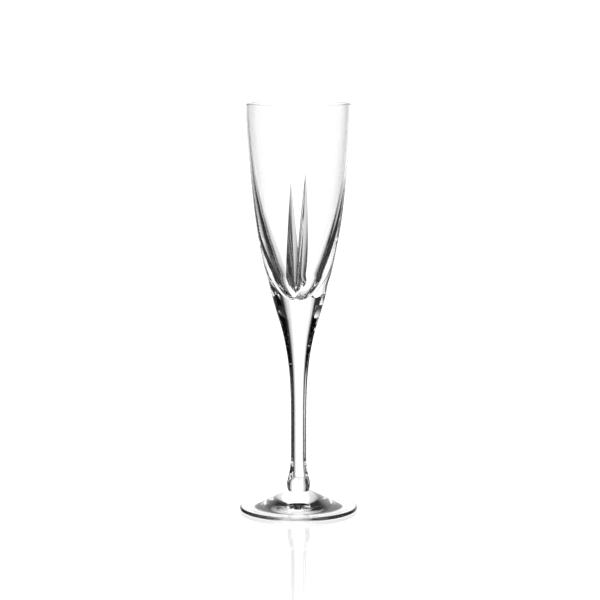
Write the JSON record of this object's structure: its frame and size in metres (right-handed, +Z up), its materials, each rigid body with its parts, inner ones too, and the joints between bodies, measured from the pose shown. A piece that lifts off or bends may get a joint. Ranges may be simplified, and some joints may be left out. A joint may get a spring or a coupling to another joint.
{
  "type": "champagne flute",
  "caption": "Champagne flute in clear cut crystal: tall bowl with wedge cuts, faceted stem, round foot.",
  "frame": {"origin": "centre of the foot, on the table plane", "axes": "+Z up along the stem, the first wedge cut of the bowl 30 degrees from +X towards +Y"},
  "size_m": [0.0732, 0.0732, 0.252],
  "materials": {
    "crystal": "polished"
  },
  "bodies": {
    "root": {"bowl": "crystal", "stem": "crystal", "foot": "crystal"}
  },
  "joints": []
}
